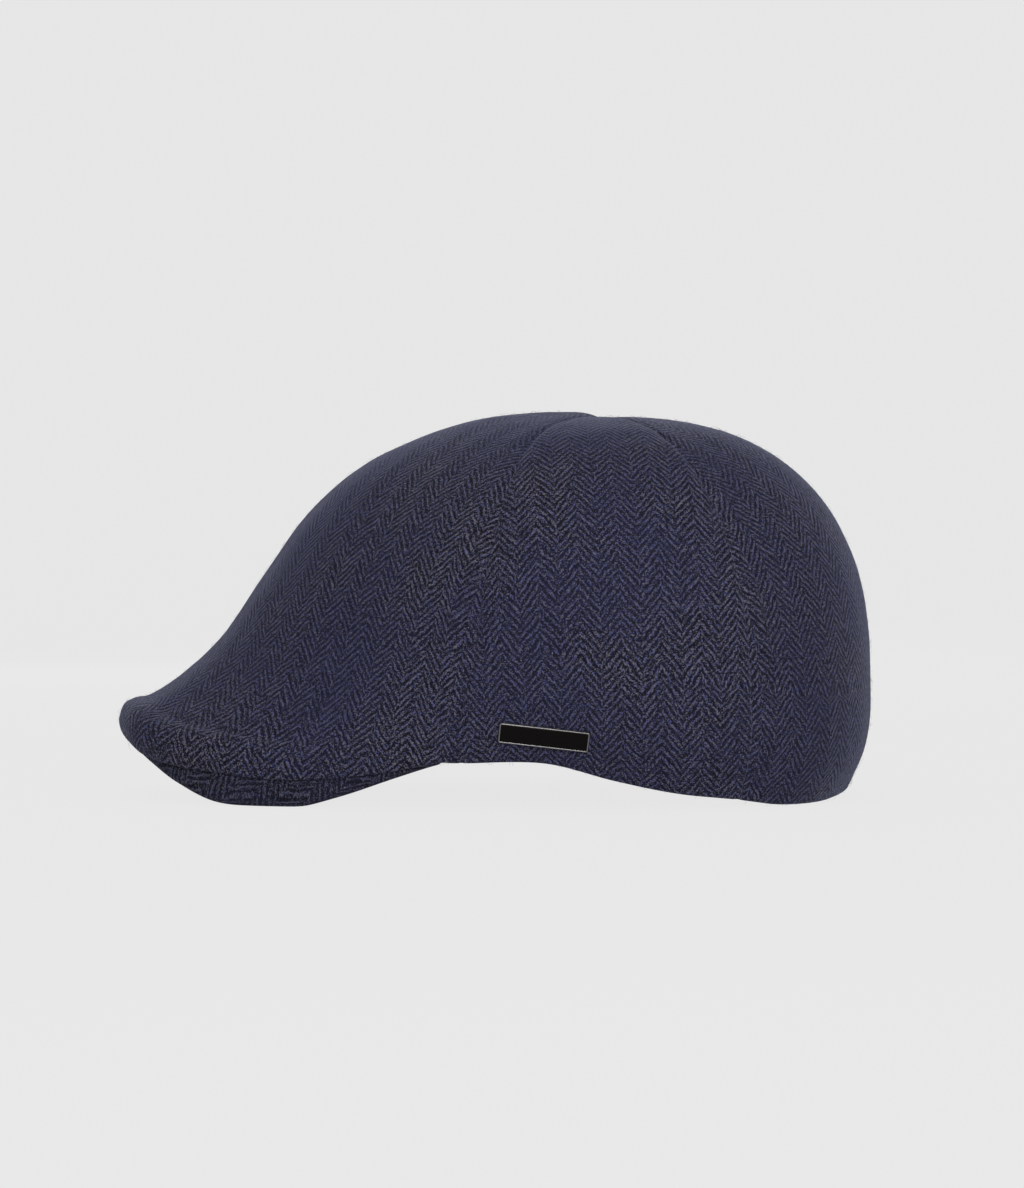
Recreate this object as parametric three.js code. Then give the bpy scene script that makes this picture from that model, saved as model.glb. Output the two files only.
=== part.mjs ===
// A duckbill flat cap: six cloth gores, a cloth-covered peak and a small metal badge.
// Millimetres, +Z up. The wearer looks along -X, and z = 0 is the table that the cap rests on.
import * as THREE from "three";

const { lerp, smoothstep, clamp, degToRad } = THREE.MathUtils;

// Crown and front fold, measured outwards from the apex where the six gores meet
const noseReach = 176; // to the foremost point of the front fold
const backReach = 97.3; // to the fullest point of the back
const crownHalfWidth = 91.5; // to the fullest point over an ear
const foldHalfWidth = 86; // to the widest point of the front fold
const apexHeight = 137.6; // table to the apex
const noseHeight = 21.5; // table to the underside of the fold at the nose
const hemHeight = 15.5; // table to the hem beside the peak
const sideTuckDepth = 7; // how far the hem pulls in over an ear
const backTuckDepth = 6; // how far the hem pulls in at the back
const domeFullestHeight = 38; // hem to the fullest point of the sides and back
const sideSquareness = 2.25; // 2 is an ellipse, more is squarer
const backSquareness = 2.52;
const frontSeamBow = 0.4; // in rows of the rim tables
const rearSeamSwing = 0.6;
const gorePuffHeight = 1.3; // how far a gore stands proud between its seams

// Cloth
const clothThickness = 1.8;
const hemTurnThickness = 1.2; // the cloth turned up inside the hem
const hemTurnHeight = 14;
const hemLeanDepth = 1.6; // how far the hem turns in over its last few millimetres
const hemRoundingDepth = 1; // at its outer lower edge
const hemTurnFadeHeight = 2; // half the height over which the turned-up cloth ends
const seamGap = 0.3; // between neighbouring pieces
const tipRadius = 0.9; // where each gore stops short of the apex
const tipEaseShare = 0.004; // and a little further, as a share of the way down
const noseFoldDepth = 4.7; // how far the fold tucks under at the nose
const noseFoldRise = 6.9; // underside of the fold to its foremost point
const sideFoldRise = 5;

// Peak
const peakThickness = 4;
const peakNoseRise = 5; // edge to deck at the nose
const peakDeckHeight = 20.5; // table to the deck above the side edges
const shoulderWidth = 22; // width of the bend from deck to side edge
const shoulderSquareness = 2.4;
const peakTipDeckWidth = 1; // least width of the deck, at the peak's two tips
const foreheadReach = 114; // apex to the middle of the peak's inner edge
const foreheadLiftHeight = 1.5; // how far the inner edge stands over the deck

// Badge
const badgeLength = 30.5;
const badgeHeight = 6.7;
const badgeAheadDistance = 21.3; // apex to the badge's middle, along the cap
const badgeLiftHeight = 25; // table to the badge's middle
const badgeTilt = 6.3; // degrees, its rear end lower
const badgeThickness = 1.6;
const badgeRimWidth = 0.6;
const badgeRimSlopeWidth = 0.15; // how far the rim's inner side leans in
const badgeRecessDepth = 0.7;
const inlayClearance = 0.2;
const inlayProudHeight = 0.05; // how far the enamel stands over the middle of its rim

// Where the front's own line gives way to the dome of the sides, and that to the back's.
// Degrees from the nose, round the apex.
const frontLineEnds = { from: 4, to: 78 };
const backDomeBegins = { from: 90, to: 165 };

// Number of mesh steps
const columnsPerRow = 2; // of the rim tables
const crownSteps = 19;
const foldSteps = 4;
const shoulderSteps = 5;
const deckSteps = 3;
const badgeSteps = 6;
const fullestShare = 0.7; // of the way down a dome, as the steps are shared out
const stepCrowding = 1.3; // more than 1 crowds a gore's steps towards its fold or hem
const directionStep = 0.002; // in places and shares, for the direction of a face
const topShare = 0.01; // a share near the apex, where the radius still grows evenly
const faceStart = 0.9; // the share at which the search for a point of the face starts
const faceHighest = 0.5; // and the least that it may reach
const faceRounds = 12;

// The front fold, from the nose round to the peak's corner. ahead is a share of noseReach, aside of
// foldHalfWidth, height and edge (the peak's lower edge) of noseHeight, shoulder of shoulderWidth.
const foldRows = [
  { ahead: 1.0, aside: 0.0, height: 0.99, edge: 0.86, shoulder: 0.18 },
  { ahead: 0.977, aside: 0.24, height: 0.9, edge: 0.785, shoulder: 0.22 },
  { ahead: 0.938, aside: 0.41, height: 0.73, edge: 0.605, shoulder: 0.45 },
  { ahead: 0.87, aside: 0.57, height: 0.6, edge: 0.31, shoulder: 0.8 },
  { ahead: 0.785, aside: 0.7, height: 0.525, edge: 0.03, shoulder: 1.0 },
  { ahead: 0.675, aside: 0.815, height: 0.435, edge: -0.08, shoulder: 1.0 },
  { ahead: 0.565, aside: 0.9, height: 0.465, edge: 0.155, shoulder: 0.9 },
  { ahead: 0.455, aside: 0.96, height: 0.575, edge: 0.47, shoulder: 0.5 },
  { ahead: 0.36, aside: 0.995, height: 0.72, edge: 0.71, shoulder: 0.18 },
];

// The crown's outline at its fullest, from the front seam round to the back. ahead is a share of noseReach
// before the apex and of backReach behind it, aside of crownHalfWidth, and height of hemHeight.
const crownRows = [
  { ahead: 0.312, aside: 0.95, height: 1.0, seam: "front" },
  { ahead: 0.14, aside: 0.985, height: 1.0 },
  { ahead: -0.02, aside: 1.0, height: 0.62 },
  { ahead: -0.27, aside: 0.975, height: 0.33 },
  { ahead: -0.51, aside: 0.88, height: 0.17, seam: "rear" },
  { ahead: -0.755, aside: 0.68, height: -0.05 },
  { ahead: -0.93, aside: 0.37, height: 0.09 },
  { ahead: -1.0, aside: 0.0, height: 0.2 },
];

// The middle line of the front, from the apex down to the foremost point of the fold.
// reach is a share of noseReach, and height a share of the drop to that point.
const frontLine = [
  { reach: 0.0, height: 1.0 },
  { reach: 0.07, height: 1.017 },
  { reach: 0.27, height: 0.987 },
  { reach: 0.47, height: 0.864 },
  { reach: 0.602, height: 0.694 },
  { reach: 0.701, height: 0.475 },
  { reach: 0.784, height: 0.281 },
  { reach: 0.867, height: 0.151 },
  { reach: 0.934, height: 0.08 },
  { reach: 0.967, height: 0.068 },
  { reach: 0.99, height: 0.047 },
  { reach: 1.0, height: 0.0 },
];

const rim = [
  ...foldRows.map((row) => ({
    ahead: row.ahead * noseReach,
    aside: row.aside * foldHalfWidth,
    height: row.height * noseHeight,
    edge: row.edge * noseHeight,
    shoulder: row.shoulder * shoulderWidth,
  })),
  ...crownRows.map((row) => ({
    ahead: row.ahead * (row.ahead > 0 ? noseReach : backReach),
    aside: row.aside * crownHalfWidth,
    height: row.height * hemHeight,
    edge: row.height * hemHeight,
    shoulder: foldRows.at(-1).shoulder * shoulderWidth,
  })),
];
const peakTip = foldRows.length - 1;
const frontSeam = foldRows.length + crownRows.findIndex((row) => row.seam === "front");
const rearSeam = foldRows.length + crownRows.findIndex((row) => row.seam === "rear");
const backSeam = rim.length - 1;
const hemThickness = clothThickness + hemTurnThickness;
const apexAhead = (noseReach - backReach) / 2; // from the middle of the cap's length back to the apex

// One column of the rim table at a place between its rows.
// Places run on past both ends, where the cap mirrors.
function rimValue(column, place) {
  const row = Math.floor(place);
  const part = place - row;
  const at = (index) => {
    const inside = index < 0 ? -index : index > backSeam ? 2 * backSeam - index : index;
    const mirrored = inside !== index && column === "aside";
    return mirrored ? -rim[inside][column] : rim[inside][column];
  };
  const [a, b, c, d] = [at(row - 1), at(row), at(row + 1), at(row + 2)];
  const bend = 2 * a - 5 * b + 4 * c - d + (3 * b - a - 3 * c + d) * part;
  return b + 0.5 * part * (c - a + part * bend);
}

// Everything that is known of the rim at one place. Places left of the middle are positive.
function rimAt(place) {
  const distance = Math.abs(place);
  const ahead = rimValue("ahead", distance);
  const aside = rimValue("aside", distance);
  const reach = Math.hypot(ahead, aside);
  const fold = 1 - smoothstep(distance, peakTip - 1, frontSeam);
  const nose = 1 - smoothstep(distance, 0, frontSeam / 2);
  const azimuth = Math.atan2(aside, ahead);
  return {
    reach,
    fold,
    alongX: -ahead / reach,
    alongY: (-Math.sign(place || 1) * aside) / reach,
    height: Math.max(0, rimValue("height", distance)),
    edge: Math.max(0, rimValue("edge", distance)),
    shoulder: rimValue("shoulder", distance),
    foldDepth: lerp(hemThickness, noseFoldDepth, nose),
    foldRise: lerp(sideFoldRise, noseFoldRise, nose),
    nose,
    azimuth,
    frontWeight: 1 - smoothstep(azimuth, degToRad(frontLineEnds.from), degToRad(frontLineEnds.to)),
    backWeight: smoothstep(azimuth, degToRad(backDomeBegins.from), degToRad(backDomeBegins.to)),
  };
}

const frontCurve = new THREE.SplineCurve(frontLine.map((row) => new THREE.Vector2(row.reach, row.height)));

// The dome of the sides and back: a squared quarter ellipse down to its fullest point, then the tuck
// to the hem.
function domePoint(share, squareness, fullest) {
  if (share < fullestShare) {
    const angle = (share / fullestShare) * (Math.PI / 2);
    return {
      reach: Math.sin(angle) ** (2 / squareness),
      height: fullest + (1 - fullest) * Math.cos(angle) ** (2 / squareness),
      tuck: 0,
    };
  }
  const below = (share - fullestShare) / (1 - fullestShare);
  return { reach: 1, height: fullest * (1 - below), tuck: below ** 3 };
}

// A point of the cloth's outer face. share runs from the apex, 0, to where the fold or the hem starts, 1.
function outerPoint(place, share) {
  const at = rimAt(place);
  const start = at.height + at.foldRise;
  const drop = apexHeight - start;
  const fullest = (domeFullestHeight - at.foldRise) / drop;
  const front = frontCurve.getPointAt(share);
  const side = domePoint(share, sideSquareness, fullest);
  const back = domePoint(share, backSquareness, fullest);
  const dome = {
    reach: lerp(side.reach, back.reach, at.backWeight),
    height: lerp(side.height, back.height, at.backWeight),
    tuck: side.tuck * lerp(sideTuckDepth, backTuckDepth, at.backWeight),
  };
  const radius = at.reach * lerp(dome.reach, front.x, at.frontWeight) - dome.tuck * (1 - at.frontWeight);
  const height = start + drop * lerp(dome.height, front.y, at.frontWeight);
  return placed(at, radius, height);
}

function radiusOf(point) {
  return Math.hypot(point.x - apexAhead, point.y);
}

function placed(at, radius, height) {
  return new THREE.Vector3(apexAhead + at.alongX * radius, at.alongY * radius, height);
}

// The outward direction of the outer face.
function outwards(place, share) {
  const low = clamp(share - directionStep, directionStep, 1);
  const high = clamp(share + directionStep, directionStep, 1);
  const before = outerPoint(place - directionStep, share);
  const round = outerPoint(place + directionStep, share).sub(before);
  const down = outerPoint(place, high).sub(outerPoint(place, low));
  return down.cross(round).normalize();
}

// Where a seam runs at a share of the way down. The front seams bow backwards between apex and hem, and the
// rear seams start nearer the front and swing back to their own place.
function seamPlace(seam, share) {
  const bows = {
    [frontSeam]: frontSeamBow * Math.sin(Math.PI * share),
    [rearSeam]: -rearSeamSwing * (1 - share) ** 2,
  };
  return seam + Math.sign(seam) * (bows[Math.abs(seam)] ?? 0);
}

// The closed solid between two grids of points with the same rows and columns.
function solidBetween(outer, inner) {
  const rows = outer.length;
  const columns = outer[0].length;
  const positions = [...outer.flat(), ...inner.flat()].flatMap((point) => [point.x, point.y, point.z]);
  const outerAt = (row, column) => row * columns + column;
  const innerAt = (row, column) => rows * columns + row * columns + column;
  const faces = [];
  const quad = (a, b, c, d) => faces.push(a, b, c, a, c, d);
  for (let row = 0; row < rows - 1; row++) {
    const next = row + 1;
    for (let column = 0; column < columns - 1; column++) {
      const beside = column + 1;
      quad(outerAt(row, column), outerAt(next, column), outerAt(next, beside), outerAt(row, beside));
      quad(innerAt(row, column), innerAt(row, beside), innerAt(next, beside), innerAt(next, column));
    }
    const last = columns - 1;
    quad(outerAt(row, 0), innerAt(row, 0), innerAt(next, 0), outerAt(next, 0));
    quad(outerAt(row, last), outerAt(next, last), innerAt(next, last), innerAt(row, last));
  }
  for (let column = 0; column < columns - 1; column++) {
    const last = rows - 1;
    const beside = column + 1;
    quad(outerAt(0, column), outerAt(0, beside), innerAt(0, beside), innerAt(0, column));
    quad(outerAt(last, column), innerAt(last, column), innerAt(last, beside), outerAt(last, beside));
  }
  const geometry = new THREE.BufferGeometry();
  geometry.setAttribute("position", new THREE.Float32BufferAttribute(positions, 3));
  geometry.setIndex(faces);
  geometry.computeVertexNormals();
  return geometry;
}

// The lowest stretch of a gore: the fold that tucks under to the peak, fading into the plain edge of
// the hem.
function edgePair(place, turn) {
  const at = rimAt(place);
  const radius = radiusOf(outerPoint(place, 1));
  const angle = (turn * Math.PI) / 2;
  const middle = radius - at.foldDepth;
  const top = at.height + at.foldRise;
  const foldedOuter = placed(
    at,
    middle + at.foldDepth * Math.cos(angle),
    top - at.foldRise * Math.sin(angle),
  );
  const foldedInner = placed(
    at,
    middle + (at.foldDepth - clothThickness) * Math.cos(angle),
    top - (at.foldRise - clothThickness) * Math.sin(angle),
  );
  const height = lerp(top, at.height, turn);
  const leaning = radius - hemLeanDepth * turn ** 2;
  const plainOuter = placed(at, leaning - hemRoundingDepth * turn ** 4, height);
  const plainInner = placed(at, leaning - hemThickness, height);
  return {
    outer: plainOuter.lerp(foldedOuter, at.fold),
    inner: plainInner.lerp(foldedInner, at.fold),
  };
}

// One gore between two seams, from its tip at the apex down to its fold or hem.
function gore(firstSeam, lastSeam) {
  const columns = (lastSeam - firstSeam) * columnsPerRow;
  const outer = [];
  const inner = [];
  for (let row = 0; row <= crownSteps + foldSteps; row++) {
    const share = 1 - Math.max(0, 1 - row / crownSteps) ** stepCrowding;
    const turn = Math.max(0, row - crownSteps) / foldSteps;
    const outerRow = [];
    const innerRow = [];
    for (let column = 0; column <= columns; column++) {
      const across = column / columns;
      const pair = gorePoints(firstSeam, lastSeam, across, share, turn);
      outerRow.push(pair.outer);
      innerRow.push(pair.inner);
    }
    outer.push(outerRow);
    inner.push(innerRow);
  }
  return solidBetween(outer, inner);
}

function gorePoints(firstSeam, lastSeam, across, share, turn) {
  const first = seamPlace(firstSeam, share);
  const last = seamPlace(lastSeam, share);
  const down = Math.max(share, tipShare(lerp(first, last, across)));
  const width = outerPoint(first, down).distanceTo(outerPoint(last, down));
  const margin = seamGap / 2 / width;
  const place = lerp(first, last, lerp(margin, 1 - margin, across));
  if (turn > 0) return edgePair(place, turn);
  const at = rimAt(place);
  const outer = outerPoint(place, down);
  const normal = outwards(place, down);
  const aboveHem = outer.z - at.height;
  const turned = smoothstep(hemTurnHeight - aboveHem, -hemTurnFadeHeight, hemTurnFadeHeight);
  const turnedUp = (1 - at.fold) * hemTurnThickness * turned;
  outer.addScaledVector(normal, puffAt(across, share));
  const inner = outer.clone().addScaledVector(normal, -clothThickness - turnedUp);
  if (share === 1) inner.copy(edgePair(place, 0).inner);
  return { outer, inner };
}

// How far a gore swells out between its seams, and between its tip and its lower end.
function puffAt(across, share) {
  return gorePuffHeight * Math.sin(Math.PI * across) * Math.sqrt(Math.sin(Math.PI * share));
}

// The share of the way down at which a gore's tip begins.
function tipShare(place) {
  return topShare * Math.min(1, tipRadius / radiusOf(outerPoint(place, topShare))) + tipEaseShare;
}

// The peak: a side edge or nose edge, a rounded shoulder and a deck back to the forehead.
function peak() {
  const outer = [];
  const inner = [];
  const columns = 2 * peakTip * columnsPerRow;
  const rows = shoulderSteps + deckSteps;
  for (let row = 0; row <= rows; row++) {
    const outerRow = [];
    const innerRow = [];
    for (let column = 0; column <= columns; column++) {
      const place = lerp(-peakTip, peakTip, column / columns);
      const pair = peakPoints(place, row);
      outerRow.push(pair.outer);
      innerRow.push(pair.inner);
    }
    outer.push(outerRow);
    inner.push(innerRow);
  }
  return solidBetween(outer.reverse(), inner.reverse());
}

function peakPoints(place, row) {
  const at = rimAt(place);
  const rise = lerp(peakDeckHeight, at.edge + peakNoseRise, at.nose) - at.edge;
  const foldInside = radiusOf(edgePair(place, 1).inner);
  const touch = clamp((at.height - at.edge) / rise, 0, 1);
  const lean = at.shoulder * (1 - (1 - touch ** shoulderSquareness) ** (1 / shoulderSquareness));
  const edgeRadius = foldInside - seamGap + lean;
  const foreheadHalfWidth = crownHalfWidth - sideTuckDepth - hemThickness;
  const forehead =
    1 / Math.hypot(Math.cos(at.azimuth) / foreheadReach, Math.sin(at.azimuth) / foreheadHalfWidth);
  const insideRadius = edgeRadius - peakThickness;
  const innerRadius = Math.min(forehead, insideRadius - at.shoulder - peakTipDeckWidth);
  if (row <= shoulderSteps) {
    const angle = (row / shoulderSteps) * (Math.PI / 2);
    const inwards = at.shoulder * (1 - Math.cos(angle) ** (2 / shoulderSquareness));
    const upwards = Math.sin(angle) ** (2 / shoulderSquareness);
    return {
      outer: placed(at, edgeRadius - inwards, at.edge + rise * upwards),
      inner: placed(at, insideRadius - inwards, at.edge + (rise - peakThickness) * upwards),
    };
  }
  const deck = (row - shoulderSteps) / deckSteps;
  const height = at.edge + rise + foreheadLiftHeight * deck;
  return {
    outer: placed(at, lerp(edgeRadius - at.shoulder, innerRadius, deck), height),
    inner: placed(at, lerp(insideRadius - at.shoulder, innerRadius, deck), height - peakThickness),
  };
}

// The place and share of the side gore's outer face that lies at a distance ahead of the apex and a height.
function faceAt(ahead, height) {
  let place = (frontSeam + rearSeam) / 2;
  let share = faceStart;
  const step = directionStep;
  for (let round = 0; round < faceRounds; round++) {
    const here = outerPoint(place, share);
    const byPlace = outerPoint(place + step, share).sub(here).divideScalar(step);
    const byShare = outerPoint(place, share + step).sub(here).divideScalar(step);
    const missX = apexAhead - ahead - here.x;
    const missZ = height - here.z;
    const scale = byPlace.x * byShare.z - byShare.x * byPlace.z;
    place += (missX * byShare.z - missZ * byShare.x) / scale;
    share = clamp(share + (missZ * byPlace.x - missX * byPlace.z) / scale, faceHighest, 1 - step);
  }
  return { place, share };
}

// A point of the badge, along and up from its middle, and off the cloth.
function badgePoint(along, up, off) {
  const tilt = degToRad(badgeTilt);
  const ahead = badgeAheadDistance - along * Math.cos(tilt) - up * Math.sin(tilt);
  const height = badgeLiftHeight - along * Math.sin(tilt) + up * Math.cos(tilt);
  const { place, share } = faceAt(ahead, height);
  const middle = faceAt(badgeAheadDistance, badgeLiftHeight);
  const across = (place - frontSeam) / (rearSeam - frontSeam);
  const swell = puffAt(across, share);
  return outerPoint(place, share).addScaledVector(outwards(middle.place, middle.share), swell + off);
}

// A bent plate on the cloth, with one height of its front face for each crossing of its grid lines.
function badgePlate(alongLines, upLines, back, frontHeight) {
  const outer = [];
  const inner = [];
  upLines.forEach((up, row) => {
    outer.push(alongLines.map((along, column) => badgePoint(along, up, frontHeight(row, column))));
    inner.push(alongLines.map((along) => badgePoint(along, up, back)));
  });
  return solidBetween(outer.reverse(), inner.reverse());
}

function lines(half, insets, steps) {
  const ends = insets.map((inset) => half - inset);
  const middle = ends.at(-1);
  const between = [];
  for (let step = 1; step < steps; step++) between.push(lerp(-middle, middle, step / steps));
  return [...ends.map((end) => -end), ...between, ...ends.toReversed()];
}

function badgeFrame() {
  const insets = [0, badgeRimWidth, badgeRimWidth + badgeRimSlopeWidth];
  const alongLines = lines(badgeLength / 2, insets, badgeSteps);
  const upLines = lines(badgeHeight / 2, insets, 2);
  const onRim = (index, count) => index < 2 || index > count - 3;
  const rimTop = seamGap + badgeThickness;
  const frontHeight = (row, column) =>
    onRim(row, upLines.length) || onRim(column, alongLines.length) ? rimTop : rimTop - badgeRecessDepth;
  return badgePlate(alongLines, upLines, seamGap, frontHeight);
}

function badgeInlay() {
  const inset = badgeRimWidth + badgeRimSlopeWidth + inlayClearance;
  const alongLines = lines(badgeLength / 2, [inset], badgeSteps);
  const upLines = lines(badgeHeight / 2, [inset], 2);
  const back = seamGap + badgeThickness - badgeRecessDepth + inlayClearance;
  return badgePlate(alongLines, upLines, back, () => seamGap + badgeThickness + inlayProudHeight);
}

const cloth = () => new THREE.MeshStandardMaterial({ color: 0x343446, roughness: 0.95, metalness: 0 });
const steel = () => new THREE.MeshStandardMaterial({ color: 0x9a9aa0, roughness: 0.3, metalness: 1 });
const enamel = () => new THREE.MeshStandardMaterial({ color: 0x08080b, roughness: 0.12, metalness: 0 });

function piece(name, geometry, material) {
  const mesh = new THREE.Mesh(geometry, material);
  mesh.name = name;
  return mesh;
}

const cap = new THREE.Group();
cap.name = "duckbill_cap";
cap.add(
  piece("front_panel_left", gore(0, frontSeam), cloth()),
  piece("front_panel_right", gore(-frontSeam, 0), cloth()),
  piece("side_panel_left", gore(frontSeam, rearSeam), cloth()),
  piece("side_panel_right", gore(-rearSeam, -frontSeam), cloth()),
  piece("back_panel_left", gore(rearSeam, backSeam), cloth()),
  piece("back_panel_right", gore(-backSeam, -rearSeam), cloth()),
  piece("peak", peak(), cloth()),
  piece("badge_frame", badgeFrame(), steel()),
  piece("badge_inlay", badgeInlay(), enamel()),
);

export default cap;
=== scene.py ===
# Duckbill flat cap in navy herringbone wool. Metres, +Z up, the wearer looks along -X.
import bpy
import bmesh
import math
import random
import numpy as np
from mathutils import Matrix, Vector, noise
from mathutils.bvhtree import BVHTree


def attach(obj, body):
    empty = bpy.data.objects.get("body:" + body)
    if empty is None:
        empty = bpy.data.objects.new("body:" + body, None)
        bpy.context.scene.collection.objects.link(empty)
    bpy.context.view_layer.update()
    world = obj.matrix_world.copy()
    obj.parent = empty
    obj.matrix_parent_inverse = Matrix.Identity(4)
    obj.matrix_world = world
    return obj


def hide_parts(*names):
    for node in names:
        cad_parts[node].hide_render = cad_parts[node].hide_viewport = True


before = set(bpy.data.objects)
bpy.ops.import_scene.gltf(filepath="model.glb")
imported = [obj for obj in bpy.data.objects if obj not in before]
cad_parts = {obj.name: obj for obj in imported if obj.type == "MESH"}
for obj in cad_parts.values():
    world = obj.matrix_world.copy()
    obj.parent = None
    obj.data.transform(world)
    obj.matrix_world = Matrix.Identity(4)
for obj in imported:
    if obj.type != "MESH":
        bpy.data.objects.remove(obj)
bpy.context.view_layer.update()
print("frame loaded:", len(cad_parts), "nodes")

mm = 0.001
scene = bpy.context.scene
random.seed(7)

# the cap's surface
# Lengths in millimetres, the same sizes and rows as in the solids.
# Reaches are measured outwards from the apex.
crown = {
    "noseReach": 176.0,
    "backReach": 97.3,
    "halfWidth": 91.5,
    "foldHalfWidth": 86.0,
    "restEase": 0.9,  # rounds off the ends of a flat rest
    "apexHeight": 137.6,
    "noseHeight": 21.5,
    "hemHeight": 15.5,
    "sideTuck": 7.0,
    "backTuck": 6.0,
    "fullestHeight": 38.0,
    "fullestShare": 0.7,
    "sideSquareness": 2.25,
    "backSquareness": 2.52,
    "frontSeamBow": 0.4,
    "rearSeamSwing": 0.6,
    "frontLineEnds": (4.0, 78.0),
    "backDomeBegins": (90.0, 165.0),
    "hemLean": 1.6,
    "hemThickness": 3.0,
    "noseFoldDepth": 4.7,
    "noseFoldRise": 6.9,
    "sideFoldRise": 5.0,
    "foldCurl": 1.2,
    "shoulderWidth": 22.0,
}
# ahead, aside, height, the peak's edge, the peak's shoulder
foldRows = (
    (1.0, 0.0, 0.99, 0.86, 0.18),
    (0.977, 0.24, 0.9, 0.785, 0.22),
    (0.938, 0.41, 0.73, 0.605, 0.45),
    (0.87, 0.57, 0.6, 0.31, 0.8),
    (0.785, 0.7, 0.525, 0.03, 1.0),
    (0.675, 0.815, 0.435, -0.08, 1.0),
    (0.565, 0.9, 0.465, 0.155, 0.9),
    (0.455, 0.96, 0.575, 0.47, 0.5),
    (0.36, 0.995, 0.72, 0.71, 0.18),
)
# ahead, aside, height
crownRows = (
    (0.312, 0.95, 1.0),
    (0.14, 0.985, 1.0),
    (-0.02, 1.0, 0.62),
    (-0.27, 0.975, 0.33),
    (-0.51, 0.88, 0.17),
    (-0.755, 0.68, -0.05),
    (-0.93, 0.37, 0.09),
    (-1.0, 0.0, 0.2),
)
# reach and height of the front's middle line
frontLine = (
    (0.0, 1.0), (0.07, 1.017), (0.27, 0.987), (0.47, 0.864), (0.602, 0.694), (0.701, 0.475),
    (0.784, 0.281), (0.867, 0.151), (0.934, 0.08), (0.967, 0.068), (0.99, 0.047), (1.0, 0.0),
)
peakTip = len(foldRows) - 1
frontSeam = len(foldRows)
rearSeam = frontSeam + 4
backSeam = len(foldRows) + len(crownRows) - 1
apexAhead = (crown["noseReach"] - crown["backReach"]) / 2

rimTable = np.array(
    [
        (
            a * crown["noseReach"],
            b * crown["foldHalfWidth"],
            c * crown["noseHeight"],
            d * crown["noseHeight"],
            e * crown["shoulderWidth"],
        )
        for a, b, c, d, e in foldRows
    ]
    + [
        (
            a * (crown["noseReach"] if a > 0 else crown["backReach"]),
            b * crown["halfWidth"],
            c * crown["hemHeight"],
            c * crown["hemHeight"],
            foldRows[-1][4] * crown["shoulderWidth"],
        )
        for a, b, c in crownRows
    ]
)


def mix(low, high, part):
    return low + (high - low) * part


def smooth(value, low, high):
    part = np.clip((value - low) / (high - low), 0, 1)
    return part * part * (3 - 2 * part)


def catmull(a, b, c, d, part):
    bend = 2 * a - 5 * b + 4 * c - d + (3 * b - a - 3 * c + d) * part
    return b + 0.5 * part * (c - a + part * bend)


def rimValue(column, place):
    row = np.floor(place).astype(int)

    def at(index):
        inside = np.where(index < 0, -index, np.where(index > backSeam, 2 * backSeam - index, index))
        value = rimTable[inside, column]
        return np.where(inside != index, -value, value) if column == 1 else value

    return catmull(at(row - 1), at(row), at(row + 1), at(row + 2), place - row)


def easedRest(height):  # nothing goes below the floor
    return (height + np.hypot(height, crown["restEase"])) / 2


def rimAt(place):
    distance = np.abs(place)
    ahead, aside = rimValue(0, distance), rimValue(1, distance)
    reach = np.hypot(ahead, aside)
    nose = 1 - smooth(distance, 0, frontSeam / 2)
    degrees = np.degrees(np.arctan2(aside, ahead))
    return {
        "reach": reach,
        "alongX": -ahead / reach,
        "alongY": -np.where(place < 0, -1, 1) * aside / reach,
        "height": easedRest(rimValue(2, distance)),
        "edge": easedRest(rimValue(3, distance)),
        "shoulder": rimValue(4, distance),
        "fold": 1 - smooth(distance, peakTip - 1, frontSeam),
        "foldDepth": mix(crown["hemThickness"], crown["noseFoldDepth"], nose),
        "foldRise": mix(crown["sideFoldRise"], crown["noseFoldRise"], nose),
        "nose": nose,
        "azimuth": np.radians(degrees),
        "front": 1 - smooth(degrees, *crown["frontLineEnds"]),
        "back": smooth(degrees, *crown["backDomeBegins"]),
    }


def smoothLine(points, steps=200):  # an even walk along a curve through the points
    points = np.array(points)
    last = len(points) - 1
    t = np.linspace(0, last, steps * last + 1)
    row = np.minimum(np.floor(t).astype(int), last - 1)
    pick = lambda index: points[np.clip(index, 0, last)]
    path = catmull(pick(row - 1), pick(row), pick(row + 1), pick(row + 2), (t - row)[:, None])
    walked = np.concatenate(([0], np.cumsum(np.linalg.norm(np.diff(path, axis=0), axis=1))))
    return walked / walked[-1], path


frontWalk, frontPath = smoothLine(frontLine)


def placed(at, radius, height):
    return np.stack((apexAhead + at["alongX"] * radius, at["alongY"] * radius, height + 0 * radius), axis=-1)


def domeLine(share, squareness, fullest):
    angle = np.minimum(share / crown["fullestShare"], 1) * math.pi / 2
    below = np.clip((share - crown["fullestShare"]) / (1 - crown["fullestShare"]), 0, 1)
    cosine = np.clip(np.cos(angle), 0, 1)
    height = np.where(below > 0, fullest * (1 - below), fullest + (1 - fullest) * cosine ** (2 / squareness))
    return np.sin(angle) ** (2 / squareness), height, below ** 3


def crownLine(place, share):  # radius and height of the cloth's outer face
    at = rimAt(place)
    start = at["height"] + at["foldRise"]
    drop = crown["apexHeight"] - start
    fullest = (crown["fullestHeight"] - at["foldRise"]) / drop
    frontReach = np.interp(share, frontWalk, frontPath[:, 0])
    frontHeight = np.interp(share, frontWalk, frontPath[:, 1])
    side = domeLine(share, crown["sideSquareness"], fullest)
    back = domeLine(share, crown["backSquareness"], fullest)
    reach, height, tuckShare = (mix(a, b, at["back"]) for a, b in zip(side, back))
    tuck = tuckShare * mix(crown["sideTuck"], crown["backTuck"], at["back"])
    radius = at["reach"] * mix(reach, frontReach, at["front"]) - tuck * (1 - at["front"])
    return at, radius, start + drop * mix(height, frontHeight, at["front"])


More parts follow.
